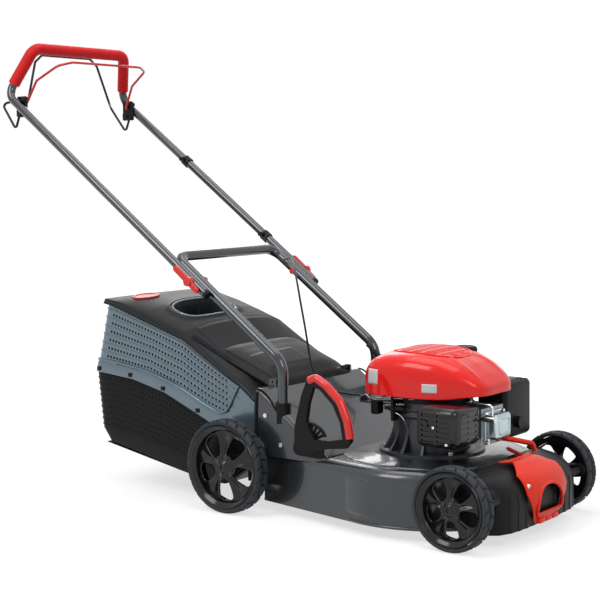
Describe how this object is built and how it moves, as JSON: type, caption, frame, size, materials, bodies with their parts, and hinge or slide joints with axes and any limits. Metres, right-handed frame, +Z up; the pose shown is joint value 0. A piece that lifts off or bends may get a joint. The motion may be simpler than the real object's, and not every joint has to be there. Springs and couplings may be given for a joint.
{
  "type": "push lawn mower",
  "caption": "Petrol rotary lawn mower with steel deck, folding handle, height lever, control bails, rear flap and lift-off grass box.",
  "frame": {"origin": "ground level under the middle of the whole machine, halfway along and across it", "axes": "+X forward, +Y to the left when walking behind it, +Z up"},
  "size_m": [1.4982, 0.516, 1.1323],
  "materials": {
    "deck_paint": "graphite gloss lacquer",
    "frame_steel": "black powder coat",
    "tube_paint": "dark graphite gloss lacquer",
    "casting": "as cast, satin",
    "crankcase": "black painted casting",
    "cover_metal": "bead blasted",
    "black_plastic": "fine grained",
    "lid_plastic": "grained dark grey",
    "mid_plastic": "metallic blue-grey",
    "rim_plastic": "black, glossy",
    "tread": "grey-black rubber",
    "cowl_red": "high gloss red",
    "handle_red": "orange-red, satin",
    "grip_red": "red foam rubber",
    "lever_red": "red, glossy",
    "bail_black": "black coated wire",
    "bail_red": "red coated wire",
    "bright_steel": "zinc plated",
    "blade_steel": "ground edge, dark faces",
    "rubber": "moulded",
    "cable_black": "ribbed outer"
  },
  "bodies": {
    "deck": {"deck_shell": "deck_paint", "rear_housing": "deck_paint", "axle_brackets": "frame_steel", "engine_block": "crankcase", "cylinder_head": "casting", "valve_cover": "cover_metal", "muffler": "frame_steel", "spark_plug": "bright_steel", "air_filter_box": "black_plastic", "fuel_tank": "black_plastic", "cowl": "cowl_red", "blower_housing": "black_plastic", "drive_belt": "rubber", "gearbox": "casting", "lever_quadrant": "black_plastic", "lower_handle": "tube_paint", "handle_sockets": "black_plastic", "starter_rope": "cable_black", "control_cable": "cable_black", "front_apron": "black_plastic", "front_handle": "handle_red", "front_bar": "handle_red", "bolts": "bright_steel"},
    "rotor": {"crankshaft": "bright_steel", "flywheel": "casting", "blade_adapter": "bright_steel", "blade": "blade_steel"},
    "gear_input": {"gear_pulley": "bright_steel"},
    "drive_shaft": {"drive_shaft": "bright_steel"},
    "recoil": {"recoil_pulley": "black_plastic"},
    "starter_grip": {"starter_grip": "black_plastic"},
    "fuel_cap": {"fuel_cap": "black_plastic"},
    "oil_cap": {"oil_cap": "black_plastic"},
    "air_knob": {"air_filter_knob": "black_plastic"},
    "rear_swing": {"rear_axle": "frame_steel"},
    "front_swing": {"front_axle": "frame_steel"},
    "height_rod": {"height_rod": "frame_steel"},
    "height_lever": {"lever_frame": "black_plastic", "lever_grip": "lever_red"},
    "rear_near_wheel": {"rear_near_rim": "rim_plastic", "rear_near_tyre": "tread"},
    "rear_far_wheel": {"rear_far_rim": "rim_plastic", "rear_far_tyre": "tread"},
    "front_near_wheel": {"front_near_rim": "rim_plastic", "front_near_tyre": "tread"},
    "front_far_wheel": {"front_far_rim": "rim_plastic", "front_far_tyre": "tread"},
    "upper_handle": {"upper_handle": "tube_paint", "handle_grip": "grip_red", "handle_fittings": "black_plastic", "upper_cable": "cable_black"},
    "clamp_near": {"fold_clamp_near": "lever_red"},
    "clamp_far": {"fold_clamp_far": "lever_red"},
    "stop_bail": {"stop_bail": "bail_black"},
    "drive_bail": {"drive_bail": "bail_red"},
    "rear_flap": {"rear_flap": "black_plastic"},
    "grass_box": {"box_lid": "lid_plastic", "box_tub": "black_plastic", "box_shell": "mid_plastic"},
    "fill_indicator": {"fill_indicator": "lever_red"}
  },
  "joints": [
    {"name": "blade_spin", "type": "hinge", "parent": "deck", "child": "rotor", "pos_m": [0.4461, 0, 0.051], "axis": [0, 0, 1], "continuous": true},
    {"name": "gear_pulley_spin", "type": "hinge", "parent": "deck", "child": "gear_input", "pos_m": [0.1391, -0.098, 0.082], "axis": [0, 0, 1], "continuous": true},
    {"name": "drive_shaft_spin", "type": "hinge", "parent": "deck", "child": "drive_shaft", "pos_m": [0.0811, 0, 0.124], "axis": [0, 1, 0], "continuous": true},
    {"name": "recoil_spin", "type": "hinge", "parent": "deck", "child": "recoil", "pos_m": [0.4461, 0, 0.338], "axis": [0, 0, 1], "range_deg": [-540, 0]},
    {"name": "starter_pull", "type": "slide", "parent": "deck", "child": "starter_grip", "axis": [-0.8059, 0, 0.592], "range_m": [0, 0.3], "stiffness_N_per_m": 20, "springref_m": -0.05, "deforming": ["starter_rope"]},
    {"name": "fuel_cap_turn", "type": "hinge", "parent": "deck", "child": "fuel_cap", "pos_m": [0.4781, 0.092, 0.357], "axis": [0, 0, 1], "range_deg": [0, 90]},
    {"name": "oil_cap_turn", "type": "hinge", "parent": "deck", "child": "oil_cap", "pos_m": [0.3791, 0.084, 0.258], "axis": [0, 0, 1], "range_deg": [0, 180]},
    {"name": "air_knob_turn", "type": "hinge", "parent": "deck", "child": "air_knob", "pos_m": [0.6121, 0.094, 0.22], "axis": [1, 0, 0], "range_deg": [0, 180]},
    {"name": "lever_swing", "type": "hinge", "parent": "deck", "child": "height_lever", "pos_m": [0.2311, 0, 0.178], "axis": [0, 1, 0], "range_deg": [-28, 12]},
    {"name": "rear_height", "type": "hinge", "parent": "deck", "child": "rear_swing", "pos_m": [0.0811, 0, 0.124], "axis": [0, 1, 0], "range_deg": [-28, 12]},
    {"name": "front_height", "type": "hinge", "parent": "deck", "child": "front_swing", "pos_m": [0.7071, 0, 0.1], "axis": [0, 1, 0], "range_deg": [-20.5, 8.9]},
    {"name": "rod_level", "type": "hinge", "parent": "rear_swing", "child": "height_rod", "pos_m": [0.0811, 0, 0.1], "axis": [0, 1, 0], "range_deg": [-12, 28]},
    {"name": "rear_near_wheel_spin", "type": "hinge", "parent": "rear_swing", "child": "rear_near_wheel", "pos_m": [0.0351, 0, 0.11], "axis": [0, 1, 0], "continuous": true},
    {"name": "rear_far_wheel_spin", "type": "hinge", "parent": "rear_swing", "child": "rear_far_wheel", "pos_m": [0.0351, 0, 0.11], "axis": [0, 1, 0], "continuous": true},
    {"name": "front_near_wheel_spin", "type": "hinge", "parent": "front_swing", "child": "front_near_wheel", "pos_m": [0.6421, 0, 0.09], "axis": [0, 1, 0], "continuous": true},
    {"name": "front_far_wheel_spin", "type": "hinge", "parent": "front_swing", "child": "front_far_wheel", "pos_m": [0.6421, 0, 0.09], "axis": [0, 1, 0], "continuous": true},
    {"name": "handle_fold", "type": "hinge", "parent": "deck", "child": "upper_handle", "pos_m": [-0.0819, 0, 0.534], "axis": [0, 1, 0], "range_deg": [0, 140]},
    {"name": "clamp_near_turn", "type": "hinge", "parent": "upper_handle", "child": "clamp_near", "pos_m": [-0.0819, 0, 0.534], "axis": [0, 1, 0], "range_deg": [-90, 0]},
    {"name": "clamp_far_turn", "type": "hinge", "parent": "upper_handle", "child": "clamp_far", "pos_m": [-0.0819, 0, 0.534], "axis": [0, 1, 0], "range_deg": [-90, 0]},
    {"name": "stop_bail_squeeze", "type": "hinge", "parent": "upper_handle", "child": "stop_bail", "pos_m": [-0.6789, 0, 0.952], "axis": [0, 1, 0], "range_deg": [0, 11.5], "stiffness_Nm_per_rad": 1.5, "springref_deg": -28.65},
    {"name": "drive_bail_squeeze", "type": "hinge", "parent": "upper_handle", "child": "drive_bail", "pos_m": [-0.6769, 0, 0.972], "axis": [0, 1, 0], "range_deg": [-34, 0], "stiffness_Nm_per_rad": 1.5, "springref_deg": 28.65},
    {"name": "flap_lift", "type": "hinge", "parent": "deck", "child": "rear_flap", "pos_m": [0.1051, 0, 0.302], "axis": [0, 1, 0], "range_deg": [0, 60], "stiffness_Nm_per_rad": 0.6, "springref_deg": -28.65},
    {"name": "box_lift_off", "type": "slide", "parent": "deck", "child": "grass_box", "axis": [-1, 0, 0], "range_m": [0, 0.25]},
    {"name": "indicator_lift", "type": "hinge", "parent": "grass_box", "child": "fill_indicator", "pos_m": [-0.3619, 0, 0.4795], "axis": [0, 1, 0], "range_deg": [-30, 0]}
  ],
  "couplings": [
    {"joint": "gear_pulley_spin", "follows": "blade_spin", "ratio": 0.71429},
    {"joint": "recoil_spin", "follows": "starter_pull", "rad_per_m": -30},
    {"joint": "rear_height", "follows": "lever_swing", "ratio": 1},
    {"joint": "front_height", "follows": "lever_swing", "ratio": 0.72727},
    {"joint": "rod_level", "follows": "lever_swing", "ratio": -1}
  ]
}
